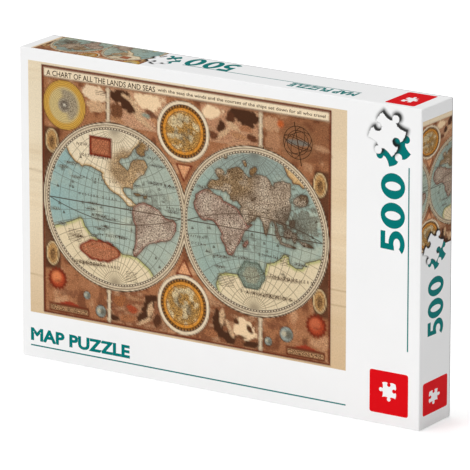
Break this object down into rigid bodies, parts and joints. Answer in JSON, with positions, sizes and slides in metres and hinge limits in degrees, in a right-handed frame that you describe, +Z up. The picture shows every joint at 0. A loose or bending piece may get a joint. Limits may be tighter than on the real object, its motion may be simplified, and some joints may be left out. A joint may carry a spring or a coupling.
{
  "type": "boxed jigsaw puzzle",
  "caption": "Rigid telescoping box standing on its long side, printed with an antique two-hemisphere map, holding a sealed clear bag of loose cut picture-puzzle pieces.",
  "frame": {"origin": "middle of the long side wall that the box stands on, at floor level", "axes": "+X along the picture's width, to the right seen from the front; +Y from the lid's front panel to the tray's back panel; +Z up, along the picture's height"},
  "size_m": [0.335, 0.042, 0.23],
  "materials": {
    "greyboard": "matt recycled greyboard",
    "printed_wrap": "glossy printed art paper",
    "gummed_paper": "brown gummed kraft paper",
    "clear_film": "clear heat-sealed film",
    "puzzle_board": "blue-grey puzzle board with a printed satin face"
  },
  "bodies": {
    "tray": {"tray_board": "greyboard", "tray_wrap": "printed_wrap", "tray_stay_bottom_left": "gummed_paper", "tray_stay_bottom_right": "gummed_paper", "tray_stay_top_left": "gummed_paper", "tray_stay_top_right": "gummed_paper"},
    "lid": {"lid_board": "greyboard", "lid_wrap": "printed_wrap", "lid_stay_bottom_left": "gummed_paper", "lid_stay_bottom_right": "gummed_paper", "lid_stay_top_left": "gummed_paper", "lid_stay_top_right": "gummed_paper"},
    "bag": {"bag_film": "clear_film", "puzzle_row_01": "puzzle_board", "puzzle_row_02": "puzzle_board", "puzzle_row_03": "puzzle_board", "puzzle_row_04": "puzzle_board", "puzzle_row_05": "puzzle_board", "puzzle_row_06": "puzzle_board", "puzzle_row_07": "puzzle_board", "puzzle_row_08": "puzzle_board", "puzzle_row_09": "puzzle_board", "puzzle_row_10": "puzzle_board", "puzzle_row_11": "puzzle_board", "puzzle_row_12": "puzzle_board", "puzzle_row_13": "puzzle_board", "puzzle_row_14": "puzzle_board", "puzzle_row_15": "puzzle_board", "puzzle_row_16": "puzzle_board", "puzzle_row_17": "puzzle_board", "puzzle_row_18": "puzzle_board", "puzzle_row_19": "puzzle_board", "puzzle_row_20": "puzzle_board"}
  },
  "joints": [
    {"name": "lid_lift", "type": "slide", "parent": "tray", "child": "lid", "axis": [0, -1, 0], "range_m": [0, 0.15]},
    {"name": "bag_lift", "type": "slide", "parent": "tray", "child": "bag", "axis": [0, -1, 0], "range_m": [0, 0.075]}
  ],
  "couplings": [
    {"joint": "bag_lift", "follows": "lid_lift", "ratio": 0.5}
  ]
}
